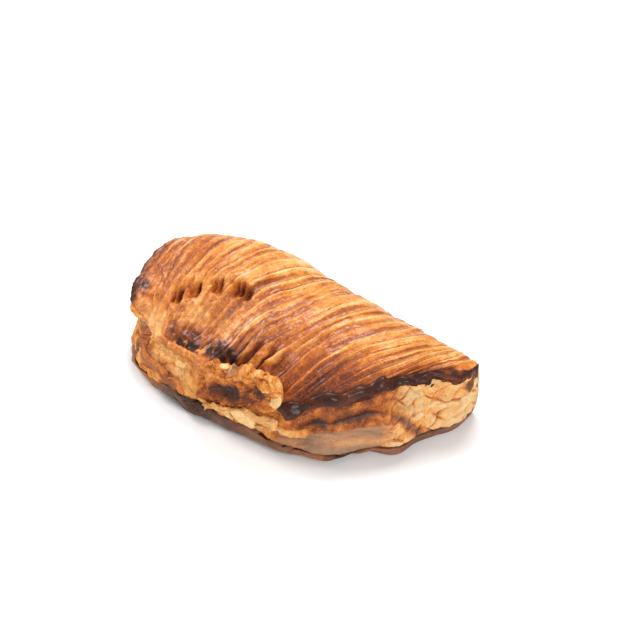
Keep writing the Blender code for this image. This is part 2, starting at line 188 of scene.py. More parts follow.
def noise(x, y, z, seed=0):
    """Smooth value noise from -1 to 1 on a unit lattice."""
    x, y, z = np.broadcast_arrays(x, y, z)
    place = np.stack([x, y, z], -1).astype(float) + seed * 17.31
    cell = np.floor(place).astype(np.int64)
    part = place - cell
    part = part * part * (3 - 2 * part)
    total = 0.0
    for corner in np.ndindex(2, 2, 2):
        key = (cell + corner) * np.array([73856093, 19349663, 83492791])
        key = key[..., 0] ^ key[..., 1] ^ key[..., 2]
        key = ((key ^ (key >> 13)) & 0x7FFFFFFF) * 1274126177
        value = ((key ^ (key >> 16)) & 0xFFFF) / 32767.5 - 1
        weight = np.where(corner, part, 1 - part).prod(-1)
        total = total + value * weight
    return total


def fractal(x, y, z, seed=0, octaves=4):
    total = 0.0
    for octave in range(octaves):
        size = 2**octave
        total = total + noise(x * size, y * size, z * size, seed + octave) / size
    return total / (2 - 2 ** (1 - octaves))


def tip_y(s):
    return TIP_Y_LEFT + (TIP_Y_RIGHT - TIP_Y_LEFT) * smooth(-1, 1, s)


def lean(r):
    """Half of the shift between a band's two ends.  It dies out towards the tips."""
    return BAND_LEAN * smooth(-0.7, -0.05, r) * fading(0.55, 1, r)


def along_x(s):
    return np.where(s < 0, s * REACH_LEFT, s * REACH_RIGHT)


def front_edge(r):
    s = np.clip(r - lean(r), -1, 1)
    return along_x(s), tip_y(s) - (tip_y(s) - FRONT_Y) * oval(s, CURVE_POWER)


def fold_edge(r):
    s = np.clip(r + lean(r), -1, 1)
    fold_y = FOLD_Y - FOLD_SWEEP * smooth(0, 0.6, s)
    return along_x(s), tip_y(s) + (fold_y - tip_y(s)) * oval(s, FOLD_POWER)


def outward(edge, r, side):
    """Unit normal of an edge in plan, pointing away from the pastry."""
    step = 1e-3
    x0, y0 = edge(np.clip(r - step, -1, 1))
    x1, y1 = edge(np.clip(r + step, -1, 1))
    length = np.hypot(x1 - x0, y1 - y0) + 1e-12
    return side * (y1 - y0) / length, -side * (x1 - x0) / length


def torn(x):
    """Where the rim is torn and the crust has sunk behind it."""
    return window(*TORN, x)


def burst(x):
    """Where the crust has slid back at the left and bares a flange of lower leaves."""
    return window(*BURST, x)


def droop(x):
    """How much lower the rim is than at its highest."""
    return 5 * window(*BURNT_DROOP, x) + 2 * torn(x) + 4 * burst(x) * (1 - torn(x))


def rim_inset(x):
    """How far the top of the edge stands back from the base."""
    grown = 7.5 * smooth(24, 56, x) + 5 * smooth(48, 68, x) - 4 * smooth(66, 73, x)
    return 1.0 + grown + 4.0 * burst(x)


def edge_offset(x, h):
    """Outward offset of the layered edge from the outline, h being the share of its height."""
    waist = 1.4 + 2 * window(*WAIST, x)
    offset = -rim_inset(x) * smooth(0.2, 1, h) - waist * hump(0.33, 0.14, h) * (1 - burst(x))
    offset = offset + 0.45 * waist * hump(0.57, 0.09, h)
    for centre, width, share_up, spread, amount in EDGE_FORMS:
        offset = offset + amount * hump(centre, width, x) * hump(share_up, spread, h)
    return offset


def foot_height(x):
    height = BASE_EDGE_Z
    for centre, width, rise in BASE_CURLS:
        height = height + rise * hump(centre, width, x)
    return height


def near_tip(r, side=1):
    """1 at the two tips, where front (side 1) and fold (side -1) meet in one upright line."""
    late = (r > 0) & (side > 0)
    return np.where(late, smooth(0.975, 1, np.abs(r)), smooth(0.9, 1, np.abs(r)))


def sole_inset(r):
    return SOLE_INSET * (1 - 0.9 * smooth(0.7, 0.96, np.abs(r)))


def tip_offset(x, z):
    """How far the tips stand out at their top and fall back towards the base."""
    right = 0.3 - 1.8 * np.clip(1 - z / 9.0, 0, 1) ** 2
    return np.where(x > 0, right, -1.5 * np.clip(1 - z / 9.0, 0, 1) ** 2)


def crest_height(r):
    left = oval(np.clip((CREST_PLACE - r) / (1 + CREST_PLACE), 0, 1), LEFT_FULLNESS)
    right = 1 - np.clip((r - CREST_PLACE) / (1 - CREST_PLACE), 0, 1) ** RIGHT_FULLNESS
    height_here = TIP_Z + (CREST_Z - TIP_Z) * np.where(r < CREST_PLACE, left, right)
    for place, width, rise in CREST_FORMS:
        height_here = height_here + rise * hump(place, width, r)
    return height_here


def pit_row(x, y):
    """Depth of the burst holes, their steep back walls, and the swelling behind with the hollow in front."""
    length = np.hypot(1, PIT_ROW_SLOPE)
    depth, wall = 0.0, 0.0
    frayed = 0.5 * noise(x / 1.3, y / 1.3, 0, 88)
    for pit_x, pit_y, half_length, deep in PITS:
        along = ((x - pit_x) + PIT_ROW_SLOPE * (y - pit_y)) / length
        aside = ((y - pit_y) - PIT_ROW_SLOPE * (x - pit_x)) / length + frayed
        beside = np.exp(-(np.abs((along + 0.5 * frayed) / half_length) ** 5))
        depth = np.maximum(depth, deep * beside * smooth(-4.6, 0.4, aside) * fading(0.4, 1.9, aside))
        wall = np.maximum(wall, beside * window(-0.9, 1.7, 0.7, aside))
    aside = (y + 48.0 - PIT_ROW_SLOPE * (x + 12.8)) / length
    swelling = hump(4.5, 3, aside) - 0.7 * window(-13, -2, 3, aside)
    return depth, wall, window(-40, -6, 4, x) * swelling


def shifted(edge, r, side, offset, z):
    """Points beside an edge.  At the tips every edge keeps to the same upright line."""
    x, y = edge(r)
    nx, ny = outward(edge, r, side)
    tip = near_tip(r, side)
    offset = offset * (1 - tip) + tip_offset(x, z) * tip
    return x + nx * offset, y + ny * offset, z + 0 * x


def rim_points(r, t):
    """Rounded lip of the crust, from its underside (t = 0) to its top (t = 1)."""
    x, y = front_edge(r)
    lip = RIM_ROUNDING * (1 - 0.8 * torn(x))
    offset = -rim_inset(x) + lip * np.sin(np.pi * (0.12 + 0.72 * t)) - 1.2 * t
    z = RIM_Z - droop(x) - RIM_THICKNESS * (1 - t) ** 1.3
    z = z + RIM_WAVE * noise(x / 9, y / 9, 0, 5) - TIP_DROOP * near_tip(r)
    return shifted(front_edge, r, 1, offset, z)


def heel_points(r, t):
    """Lower quarter of the fold, from its widest level (t = 0) to the sole (t = 1)."""
    angle = t * np.pi / 2
    offset = -sole_inset(r) * (1 - np.cos(angle))
    return shifted(fold_edge, r, -1, offset, FOLD_Z * (1 - np.sin(angle)))


def crust_points(r, f):
    """Crust from the rim (f = 0) over the crest to the widest level of the fold (f = 1)."""
    x0, y0, z0 = rim_points(r, np.float64(1.0))
    x1, y1, _ = heel_points(r, np.float64(0.0))
    eased = 1 - (1 - f) ** 1.5
    x = x0 + (x1 - x0) * eased
    y = y0 + (y1 - y0) * f
    crest = np.maximum(crest_height(r), z0 + 0.5)
    rise = 1 - np.clip(1 - f / CREST_SHARE, 0, 1) ** 2.1
    fall = np.clip(1 - (np.clip(f - CREST_SHARE, 0, 1) / (1 - CREST_SHARE)) ** 2, 0, 1) ** 0.5
    z = np.where(f < CREST_SHARE, z0 + (crest - z0) * rise, FOLD_Z + (crest - FOLD_Z) * fall)
    z = z - 5 * window(*CREVICE, x0) * hump(0.045, 0.04, f) - 2 * torn(x0) * hump(0.12, 0.1, f)
    open_crust = smooth(0.05, 0.3, f) * fading(0.8, 1, f)
    pits, _, bulge = pit_row(x, y)
    z = z + (noise(x / 26, y / 26, 0.5, 7) + 1.1 * bulge) * open_crust - pits * smooth(0.02, 0.1, f)
    return x, y, z


def even_rows(count, *curves):
    """Places along the length that are evenly far apart on average over the given curves."""
    fine = np.linspace(-1, 1, 20001)
    travelled = np.zeros(len(fine))
    for curve in curves:
        x, y = curve(fine)
        travelled[1:] += np.cumsum(np.hypot(np.diff(x), np.diff(y)))
    targets = travelled[-1] * (np.arange(count) + 0.5) / count
    return np.interp(targets, travelled, fine)[:, None]


def block(points, rows, steps):
    """Grid of the points of one stretch of a section: rows down, steps across."""
    return np.stack(np.broadcast_arrays(*points(rows, steps[None, :])), -1)


def raised(grid, relief):
    """The closed rings of a grid, moved along the surface normal by relief."""
    along = np.gradient(grid, axis=0)
    around = np.roll(grid, -1, axis=1) - np.roll(grid, 1, axis=1)
    facing = np.cross(along, around)
    facing = facing / (np.linalg.norm(facing, axis=-1, keepdims=True) + 1e-12)
    return grid + facing * relief[..., None]


def placed(grid):
    return (grid - PLAN_CENTRE) * MM


def ringed_piece(name, grid, masks):
    """A ball of rows and columns with its vertices moved onto the grid, closed by a fan at each end."""
    rows, columns = grid.shape[:2]
    bm = bmesh.new()
    bmesh.ops.create_uvsphere(bm, u_segments=columns, v_segments=rows + 1, radius=1.0)
    mesh = bpy.data.meshes.new(name)
    bm.to_mesh(mesh)
    ball = np.empty(len(mesh.vertices) * 3, np.float32)
    mesh.vertices.foreach_get("co", ball)
    ball = ball.reshape(-1, 3).astype(float)
    row = np.rint(np.arccos(np.clip(ball[:, 2], -1, 1)) / np.pi * (rows + 1)).astype(int) - 1
    column = np.rint(np.arctan2(ball[:, 1], ball[:, 0]) / (2 * np.pi) * columns).astype(int) % columns
    inside = np.clip(row, 0, rows - 1)
    ends = np.stack([grid[0].mean(0), grid[-1].mean(0)])
    spots = np.where((row < 0)[:, None], ends[0], grid[inside, column])
    spots = np.where((row >= rows)[:, None], ends[1], spots)
    mesh.vertices.foreach_set("co", placed(spots).astype(np.float32).ravel())
    bm.free()
    bm = bmesh.new()
    bm.from_mesh(mesh)
    if bm.calc_volume(signed=True) < 0:
        bmesh.ops.reverse_faces(bm, faces=bm.faces)
    bm.to_mesh(mesh)
    bm.free()
    for mask_name, values in masks.items():
        mask = mesh.attributes.new(mask_name, "FLOAT", "POINT")
        mask.data.foreach_set("value", values[inside, column].astype(np.float32))
    mesh.shade_smooth()
    piece = bpy.data.objects.new(name, mesh)
    bpy.context.scene.collection.objects.link(piece)
    return piece


CRUST_ROWS = 740
LIP_STEPS, DOME_STEPS, HEEL_STEPS, INNER_STEPS = 12, 110, 10, 2

rows = even_rows(CRUST_ROWS, front_edge, fold_edge)
lip_steps = np.linspace(0, 1, LIP_STEPS)
dome_steps = np.linspace(0, 1, DOME_STEPS + 1)[1:] ** 1.12
heel_steps = np.linspace(0, 1, HEEL_STEPS + 1)[1:]
lip = block(rim_points, rows, lip_steps)
dome = block(crust_points, rows, dome_steps)
heel = block(heel_points, rows, heel_steps)
inner_steps = (np.arange(INNER_STEPS) + 1)[None, :, None] / (INNER_STEPS + 1)
inner = heel[:, -1:] + (lip[:, :1] - heel[:, -1:]) * inner_steps
crust_grid = np.concatenate([lip, dome, heel, inner], axis=1)
shown = np.concatenate([np.ones(LIP_STEPS + DOME_STEPS + HEEL_STEPS), np.zeros(INNER_STEPS)])[None, :]
share = np.concatenate([np.zeros(LIP_STEPS), dome_steps, 1 + heel_steps, np.zeros(INNER_STEPS)])[None, :]
gx, gy, gz = crust_grid[..., 0], crust_grid[..., 1], crust_grid[..., 2]
rim_x = front_edge(rows)[0]

# Scoring: phase counts the bands.  Each has a crack, a raised golden strip, a browned slope behind
# it and a smooth glazed floor.  No two are alike: they waver, swell, thin out and stop.
phase = (rows - BAND_FIRST) / (BAND_LAST - BAND_FIRST) * BANDS
phase = phase + 0.5 * noise(gx / 34, gy / 34, 0, 31) + 0.26 * noise(gx / 15, gy / 15, 0, 32)
phase = phase + 0.45 * noise(phase / 1.6, share * 1.6, 0, 33)
band = np.floor(phase)
across = phase - band
cut = np.minimum(across, 1 - across)
scored = window(BAND_FIRST, BAND_LAST, 0.02, rows) * smooth(0.02, 0.1, share)
scored = scored * (1 - 0.7 * smooth(1, 1.6, share)) * shown
calm = window(-50, -8, 7, gx) * fading(0.22, 0.45, share)
scored = scored * (1 - 0.5 * calm)
flames = np.clip(1.9 * fractal(phase * 0.75, share * 2.6, 0, 40, 2), -1, 1)
streaks = np.clip(1.7 * fractal(phase * 2.7, share * 5, 0, 41), -1, 1)
threads = np.clip(1.6 * fractal(phase * 7.5, share * 9, 0, 45, 3), -1, 1)
sway = 0.18 * noise(band * 5.3, share * 4, 0, 47)
deepness = np.clip(0.7 + 1.5 * noise(band * 1.7, share * 3.2, 0, 48), 0, 2)

netted = hump(-22, 17, gx) * hump(-60, 6, gy)
speckled = hump(3, 15, gx) * hump(-52, 9, gy)
folded = hump(9, 13, gx) * hump(-65.5, 6, gy)
fan = fading(-46, -24, gx)
pits, wall, bulge = pit_row(gx, gy)
ribs = noise(gx / 0.9 + gy / 9, 0, 0, 87)
in_crust = smooth(0.02, 0.1, share) * (share < 0.8)
pits = pits * in_crust
wall = wall * in_crust
bulge = bulge * smooth(0.05, 0.3, share) * (share < 0.8) * fading(0.5, 1.5, pits)
net = (1 - np.abs(fractal(gx / 6 + gy / 9, gy / 4, 0, 49))) ** 5
crinkled = np.clip(0.9 * fan + 0.8 * speckled + 0.5 * netted + 0.8 * calm, 0, 1)
crinkle = 1 - 2 * np.abs(fractal(gx / 3 + gy / 8, gy / 4.5, gz / 7, 57, 3))
pitting = np.abs(fractal(gx / 2.2, gy / 2.2, 0, 55))
lumps = fractal(gx / 9, gy / 9, gz / 9, 50)
crumbs = fractal(gx / 2.6, gy / 2.6, gz / 2.6, 51)
grain = noise(gx / 0.9, gy / 0.9, gz / 0.9, 53)

ridge = smooth(0, 0.12, across) * fading(0.24 + sway, 0.68 + sway, across)
crack = np.exp(-((cut / 0.06) ** 2)) * np.clip(0.1 + 1.3 * noise(band * 2.9, share * 6, 0, 43), 0, 1)
crack = crack * (1 - 0.75 * crinkled)
weight = deepness * (0.62 - 0.4 * speckled - 0.15 * netted + 0.9 * folded + 0.05 * fan)
weight = weight * (1 - 0.45 * smooth(0.45, 0.75, share))
relief = weight * (0.95 * ridge - 0.4) - 0.35 * crack + 0.45 * flames + 0.12 * streaks + 0.1 * threads
in_pit = np.maximum(wall, smooth(0.9, 2, pits))
relief = relief * scored * (1 - 0.5 * in_pit) + 1.1 * ribs * wall + 0.5 * crumbs * in_pit - 0.2 * pits
relief = relief + shown * (0.8 * lumps + 0.28 * crumbs + 0.13 * grain)
relief = relief + shown * 1.0 * speckled * (pitting - 0.25) + shown * 0.6 * netted * net
relief = relief + shown * 0.42 * crinkled * (crinkle - 0.3) * (1 - wall)

# Three folds of the crust stand up side by side over the crevice, sharp along one edge.
FOLDS = (  # from x, y to x, y, half width, how far it stands up
    (2.0, -71.0, 7.0, -57.0, 1.5, 1.2),
    (8.5, -71.5, 14.5, -54.0, 1.7, 1.7),
    (13.5, -71.0, 20.0, -56.0, 1.6, 1.9),
)
standing = 0.0
for x0, y0, x1, y1, half_width, height_up in FOLDS:
    t = ((gx - x0) * (x1 - x0) + (gy - y0) * (y1 - y0)) / ((x1 - x0) ** 2 + (y1 - y0) ** 2)
    aside = ((gx - x0) * (y1 - y0) - (gy - y0) * (x1 - x0)) / np.hypot(x1 - x0, y1 - y0)
    aside = aside + 0.9 * crumbs + 0.5 * lumps
    body = smooth(-2.4 * half_width, 0, aside) * fading(0.1, 0.7 * half_width, aside)
    standing = np.maximum(standing, height_up * body * window(0.08, 0.62, 0.24, t) * (share < 0.6))
relief = relief + shown * standing * (1.15 + 0.5 * crumbs)

# Burning: along the right of the rim, widening over the right tip, at the left tip, and in patches
# behind the torn lip.
CHAR_PLACES = (24, 28, 33, 43, 50, 55, 60, 64, 67, 70)
CHAR_WIDTHS = (0.0, 0.0, 0.01, 0.01, 0.03, 0.08, 0.14, 0.2, 0.25, 0.3)
ragged = fractal(gx / 6, gy / 6, gz / 6, 91)
fine_ragged = fractal(gx / 2.2, gy / 2.2, gz / 2.2, 92)
char_reach = np.interp(rim_x, CHAR_PLACES, CHAR_WIDTHS) * (1 + 0.55 * ragged + 0.25 * fine_ragged)
char = smooth(-0.02, 0.015, char_reach - share) * (rim_x > 22) * fading(0.8, 1.3, share)
burnt = char * shown
singed = smooth(-0.16, 0, char_reach - share) * smooth(24, 30, rim_x) * fading(0.8, 1.3, share)
char = char * np.clip(0.95 + 1.3 * fractal(gx / 4, gy / 4, gz / 4, 94), 0.1, 1)
left_rim = fading(0.02, 0.1, share + 0.05 * ragged + 0.03 * fine_ragged) * fading(-58, -55, gx)
left_tip = fading(-0.955, -0.915, rows + 0.03 * ragged + 0.015 * fine_ragged)
left_burnt = np.maximum(left_rim, left_tip)
char = np.maximum(char, 0.9 * left_burnt * np.clip(0.8 + 1.2 * fine_ragged, 0, 1))
smoky = fading(0.08, 0.34, share + 0.15 * ragged) * fading(-56, -44, gx)
smoky = np.maximum(smoky, fading(-0.93, -0.8, rows + 0.06 * ragged))
patches = hump(-22, 8, gx) * hump(-69.6, 2, gy + 1.5 * ragged)
patches = patches + hump(-6, 7.5, gx) * hump(-69, 2.4, gy + 1.5 * ragged)
patches = np.clip(1.5 * patches * smooth(-0.35, 0.05, fine_ragged + 0.3 * ragged), 0, 1)
patches = patches * (share < 0.3) * (share > 0)
# A lumpy glossy ridge in front of the sunken crust: darker glazed dough with a pale greyish painted sheen
# mixed into its colour.
mauve_sheen = hump(-66.3, 2.4, gy + 1.2 * ragged) * window(-34, -6, 3, gx) * (share < 0.4) * (share > 0)
mauve_sheen = np.clip(1.2 * mauve_sheen, 0, 1) * (1 - patches)
char = np.maximum(char, patches)
blistered = 0.5 + fractal(gx / 2.8, gy / 2.8, gz / 2.8, 61)
relief = relief + (0.5 * burnt + 0.6 * patches + 0.9 * mauve_sheen) * blistered
relief = relief + shown * smoky * 0.5 * fine_ragged
cream_rim = window(-56, -36, 3, gx) * fading(0.03, 0.12, share + 0.06 * ragged)
relief = relief + shown * cream_rim * 0.8 * fractal(gx / 1.9, gy / 1.9, gz / 3, 65)
crust_grid = raised(crust_grid, relief)
crust_grid[..., 2] = np.maximum(crust_grid[..., 2], 0.0)

# How far each place is baked: 0 pale dough, 0.3 golden, 0.6 red brown, 1 dark. It also carries painted shade
# in the cracks, in the crevice behind the torn lip and between the folds.
browned = smooth(0.36, 0.5, across + sway) * fading(0.66, 0.82, across + sway)
floor_of_cut = smooth(0.64, 0.76, across + sway)
strength = np.clip(0.55 + 1.2 * noise(band * 3.7, share * 3.5, 0, 71) + 0.6 * streaks, 0, 1.8)
# A pale line along the crest of each raised strip: its torn pale edge, made lighter still as a painted
# highlight.
pale_edge_and_highlight = hump(0.12, 0.05, across) * np.clip(0.4 + 1.2 * noise(band * 4.1, share * 7, 0, 73), 0, 1)
front = fading(0.1, 0.42, share)
bake = 0.27 + 0.15 * fading(0.35, 0.75, share) + 0.05 * front + 0.13 * fan
bake = bake + 0.17 * hump(45, 24, gx) * fading(0.1, 0.6, share) + 0.16 * lumps
bake = bake + 0.1 * fractal(gx / 4, gy / 4, 0, 82) + 0.09 * crumbs + 0.04 * grain
bake = bake + 0.07 * smooth(-10, 20, gx)
bake = bake + scored * (0.24 * browned * strength + 0.08 * floor_of_cut - 0.28 * pale_edge_and_highlight - 0.06 * ridge)
# The cracks are darkened in colour: painted shadow at the foot of each raised strip.
bake = bake + scored * (0.36 * crack - 0.14 * flames + (0.08 * streaks + 0.07 * threads) * (1 - 0.6 * fan))
bake = bake - 0.2 * netted * net - 0.1 * bulge + 0.4 * patches + 0.28 * mauve_sheen
bake = bake - 0.13 * crinkled * (crinkle - 0.3) * fading(0.5, 0.9, share)
bake = bake + speckled * (0.55 * np.clip(fractal(gx / 1.5, gy / 1.5, 0, 85) - 0.08, 0, 1) + 0.06)
bake = bake * (1 - 0.8 * in_pit) + (0.72 - 0.2 * ribs + 0.12 * crumbs) * 0.8 * in_pit
bake = bake - 0.62 * np.clip(bake - 0.56, 0, 1) * (1 - in_pit) * (1 - patches) * (1 - mauve_sheen)
# Painted shade in the crevice behind the torn lip.
bake = bake + 0.34 * window(*CREVICE, gx) * hump(0.05, 0.05, share)
# Painted shade in the gaps between the three folds.
bake = bake + 0.18 * folded * fading(0, 0.9, standing)
bake = bake - 0.18 * smooth(0.5, 1.6, standing)
bake = bake + smoky * (0.17 + 0.36 * fine_ragged) + 0.1 * singed
bake = bake + 0.1 * window(26, 66, 6, gx) * front
bake = bake - 0.34 * cream_rim * (0.8 + 0.6 * fine_ragged)
# A pale greyish colour is mixed in. On the glazed floors of the cuts and on the mauve ridge it is painted
# sheen of the glaze; it also greys the smoky, netted and speckled places.
raw = 0.26 * floor_of_cut * scored * np.clip(strength, 0, 1) + 0.12 * netted + 0.14 * speckled + 0.12 * smoky
raw = raw * (1 - 0.85 * smooth(18, 34, gx) * front)
raw = (raw + 0.15 * mauve_sheen + 0.1 * cream_rim) * shown * fading(0.45, 0.72, bake)
raw = raw * fading(0.4, 1.2, pits) * (1 - 0.7 * singed)
glaze = shown * (0.6 + 0.4 * floor_of_cut * scored + 0.4 * mauve_sheen - 0.5 * char - 0.5 * pits)
glaze = np.clip(glaze * (1 - 0.5 * smooth(18, 34, gx) * front), 0, 1)


def baked_dough_group():
    """Colour, roughness and fine relief of baked dough from how far it is baked and charred."""
    group = bpy.data.node_groups.new("baked_dough", "ShaderNodeTree")
    for socket, default in (
        ("Bake", 0.4), ("Raw", 0.0), ("Char", 0.0), ("Glaze", 0.5), ("Mottle", 0.1)
    ):
        item = group.interface.new_socket(socket, in_out="INPUT", socket_type="NodeSocketFloat")
        item.default_value = default
    group.interface.new_socket("Color", in_out="OUTPUT", socket_type="NodeSocketColor")
    for socket in ("Roughness", "Height"):
        group.interface.new_socket(socket, in_out="OUTPUT", socket_type="NodeSocketFloat")
    nodes, links = group.nodes, group.links
    given, out = nodes.new("NodeGroupInput"), nodes.new("NodeGroupOutput")
    place = nodes.new("ShaderNodeTexCoord")

    def speckle(scale, detail):
        texture = nodes.new("ShaderNodeTexNoise")
        texture.inputs["Scale"].default_value = scale
        texture.inputs["Detail"].default_value = detail
        texture.inputs["Roughness"].default_value = 0.6
        links.new(place.outputs["Object"], texture.inputs["Vector"])
        return texture.outputs["Fac"]

    def sum_of(a, b, factor):
        node = nodes.new("ShaderNodeMath")
        node.operation = "MULTIPLY_ADD"
        links.new(b, node.inputs[0])
        if isinstance(factor, float):
            node.inputs[1].default_value = factor
        else:
            links.new(factor, node.inputs[1])
        links.new(a, node.inputs[2])
        return node.outputs[0]

    def centred(value):
        node = nodes.new("ShaderNodeMath")
        node.operation = "SUBTRACT"
        links.new(value, node.inputs[0])
        node.inputs[1].default_value = 0.5
        return node.outputs[0]

    coarse, fine, grain = speckle(420.0, 4.0), speckle(1300.0, 3.0), speckle(2600.0, 2.0)
    bake = sum_of(given.outputs["Bake"], centred(coarse), given.outputs["Mottle"])
    bake = sum_of(bake, centred(fine), 0.2)
    for scale, low, high, change in ((1500.0, 0.6, 0.72, 0.2), (1150.0, 0.61, 0.74, -0.16)):
        specks = nodes.new("ShaderNodeMapRange")
        links.new(speckle(scale, 1.0), specks.inputs["Value"])
        specks.inputs["From Min"].default_value = low
        specks.inputs["From Max"].default_value = high
        bake = sum_of(bake, specks.outputs["Result"], change)
    ramp = nodes.new("ShaderNodeValToRGB")
    links.new(bake, ramp.inputs["Fac"])
    stops = ramp.color_ramp.elements
    stops.remove(stops[1])
    stops[0].color = (*BAKE_COLOURS[0][1], 1.0)
    for position, colour in BAKE_COLOURS[1:]:
        stops.new(position).color = (*colour, 1.0)
    # Pale greyish colour mixed in by its mask: pale dough on the edges, painted sheen on the glazed crust.
    pale = nodes.new("ShaderNodeMix")
    pale.data_type = "RGBA"
    links.new(given.outputs["Raw"], pale.inputs["Factor"])
    links.new(ramp.outputs["Color"], pale.inputs[6])
    pale.inputs[7].default_value = (0.5, 0.33, 0.2, 1.0)
    charred = nodes.new("ShaderNodeMix")
    charred.data_type = "RGBA"
    patchy = sum_of(given.outputs["Char"], centred(fine), given.outputs["Char"])
    links.new(patchy, charred.inputs["Factor"])
    links.new(pale.outputs[2], charred.inputs[6])
    charred.inputs[7].default_value = (0.032, 0.011, 0.007, 1.0)
    links.new(charred.outputs[2], out.inputs["Color"])
    matt = nodes.new("ShaderNodeMapRange")
    links.new(given.outputs["Glaze"], matt.inputs["Value"])
    matt.inputs["To Min"].default_value = 0.85
    matt.inputs["To Max"].default_value = 0.42
    links.new(sum_of(matt.outputs["Result"], centred(coarse), 0.25), out.inputs["Roughness"])
    links.new(sum_of(coarse, grain, 0.35), out.inputs["Height"])
    return group


BAKE_COLOURS = (
    (0.0, (0.84, 0.59, 0.3)),
    (0.15, (0.8, 0.45, 0.16)),
    (0.3, (0.73, 0.3, 0.062)),
    (0.45, (0.58, 0.175, 0.022)),
    (0.6, (0.36, 0.082, 0.011)),
    (0.75, (0.18, 0.036, 0.008)),
    (0.88, (0.08, 0.017, 0.006)),
    (1.0, (0.035, 0.010, 0.006)),
)
MASKS = ("bake", "raw", "char", "glaze")
baked_dough = baked_dough_group()


def dough_material(name, mottle, bump, coat, specular=0.5):
    """A Principled surface fed by the baked dough group and the piece's own masks."""
    material = bpy.data.materials.new(name)
    material.use_nodes = True
    nodes, links = material.node_tree.nodes, material.node_tree.links
    shader = nodes["Principled BSDF"]
    dough = nodes.new("ShaderNodeGroup")
    dough.node_tree = baked_dough
    dough.inputs["Mottle"].default_value = mottle
    for mask in MASKS:
        node = nodes.new("ShaderNodeAttribute")
        node.attribute_name = mask
        links.new(node.outputs["Fac"], dough.inputs[mask.capitalize()])
        if mask == "glaze":
            coated = nodes.new("ShaderNodeMath")
            coated.operation = "MULTIPLY"
            links.new(node.outputs["Fac"], coated.inputs[0])
            coated.inputs[1].default_value = coat
            links.new(coated.outputs[0], shader.inputs["Coat Weight"])
    relief = nodes.new("ShaderNodeBump")
    relief.inputs["Strength"].default_value = bump
    relief.inputs["Distance"].default_value = 0.0006
    links.new(dough.outputs["Height"], relief.inputs["Height"])
    links.new(dough.outputs["Color"], shader.inputs["Base Color"])
    links.new(dough.outputs["Roughness"], shader.inputs["Roughness"])
    links.new(relief.outputs["Normal"], shader.inputs["Normal"])
    shader.inputs["Specular IOR Level"].default_value = specular
    shader.inputs["Coat Roughness"].default_value = 0.18
    return material


crust_masks = {"bake": bake, "raw": raw, "char": char, "glaze": glaze}
crust = ringed_piece("glazed_crust", crust_grid, crust_masks)
crust.data.materials.append(dough_material("egg_glazed_crust", 0.36, 0.6, 0.5, specular=0.2))
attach(crust, "root")
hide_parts("pastry")


# ---------------------------------------------------------------- burnt rim
# The bead of juice and egg that ran to the sealed rim at the right and burnt on it: black, glossy
# and lumpy, curled under where it ends beside the tear.

BEAD_ROWS, BEAD_STEPS = 520, 48
BEAD_START, BEAD_END = 23.0, 74.6
BEAD_PLACES = (23.0, 25.5, 29.0, 33.0, 38.0, 44.0, 50.0, 56.0, 62.0, 68.0, 72.0, 74.6)
BEAD_HALF_WIDTHS = (0.4, 2.2, 3.0, 2.8, 2.1, 1.9, 2.3, 2.9, 2.7, 2.0, 1.2, 0.4)


def place_of(x):
    """Place along the length, from -1 to 1, at which the curved edge reaches this x."""
    places = np.linspace(-1, 1, 4001)
    return np.interp(x, front_edge(places)[0], places)


bead_x = np.linspace(BEAD_START, BEAD_END, BEAD_ROWS)[:, None]
rows = place_of(bead_x)
turn = np.linspace(0, 2 * np.pi, BEAD_STEPS + 1)[None, :-1]
mx, my, mz = rim_points(rows, np.float64(0.7))
nx, ny = outward(front_edge, rows, 1)
half_width = np.interp(bead_x, BEAD_PLACES, BEAD_HALF_WIDTHS)
half_width = half_width * (1 + 0.22 * noise(bead_x / 2.7, 0, 0, 201))
half_thickness = np.minimum(0.7 * half_width, 1.5)
tilt = np.radians(np.interp(bead_x, (23, 30, 45, 73), (75, 62, 48, 30)))
wide, thick = half_width * np.cos(turn), half_thickness * np.sin(turn)
out = -wide * np.cos(tilt) + thick * np.sin(tilt) + 0.2
up = wide * np.sin(tilt) + thick * np.cos(tilt)
sag = 1.6 * fading(24, 32, bead_x)
bead_grid = np.stack(np.broadcast_arrays(mx + nx * out, my + ny * out, mz + up - sag), -1)
gx, gy, gz = bead_grid[..., 0], bead_grid[..., 1], bead_grid[..., 2]
fade = np.clip(half_width / 1.5, 0, 1)
bubbles = np.abs(noise(gx / 3.4, gy / 3.4, gz / 3.4, 203))
bead_relief = fade * (1.3 * noise(gx / 4.6, gy / 4.6, gz / 4.6, 205) + 0.4 * bubbles - 0.1)
bead_relief = bead_relief + fade * 0.05 * noise(gx / 0.9, gy / 0.9, gz / 0.9, 207)
bead_grid = raised(bead_grid, bead_relief)
underneath = smooth(0.2, 0.9, -np.sin(turn) * 0.6 - np.cos(turn) * 0.6) + 0 * bead_x
tone = fractal(gx / 5, gy / 5, gz / 5, 209)
bead_bake = 0.9 - 0.36 * underneath + 0.3 * tone
bead_char = np.clip(0.7 - 1 * underneath + 1 * fractal(gx / 5, gy / 5, gz / 5, 211), 0, 1)
bead_masks = {"bake": bead_bake, "raw": 0.05 * bubbles, "char": bead_char, "glaze": 0.9 + 0 * bead_bake}
bead = ringed_piece("burnt_rim", bead_grid, bead_masks)
bead.data.materials.append(dough_material("burnt_juice", 0.15, 0.15, 0.3, specular=0.08))
bead.data.materials[0].node_tree.nodes["Principled BSDF"].inputs["Coat Roughness"].default_value = 0.2
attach(bead, "root")
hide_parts("pastry")


# ---------------------------------------------------------------- layered edge
# Where the dough was cut round and sealed, its leaves have risen apart: some seventeen thin leaves,
# pale inside and browned along their outer edges, with shadows between them.

LEAVES_IN_EDGE = 17
EDGE_ROWS = 640
EDGE_STEPS, BACK_STEPS = 100, 10
EDGE_DEPTH = 16.0  # how far the piece runs in under the crust


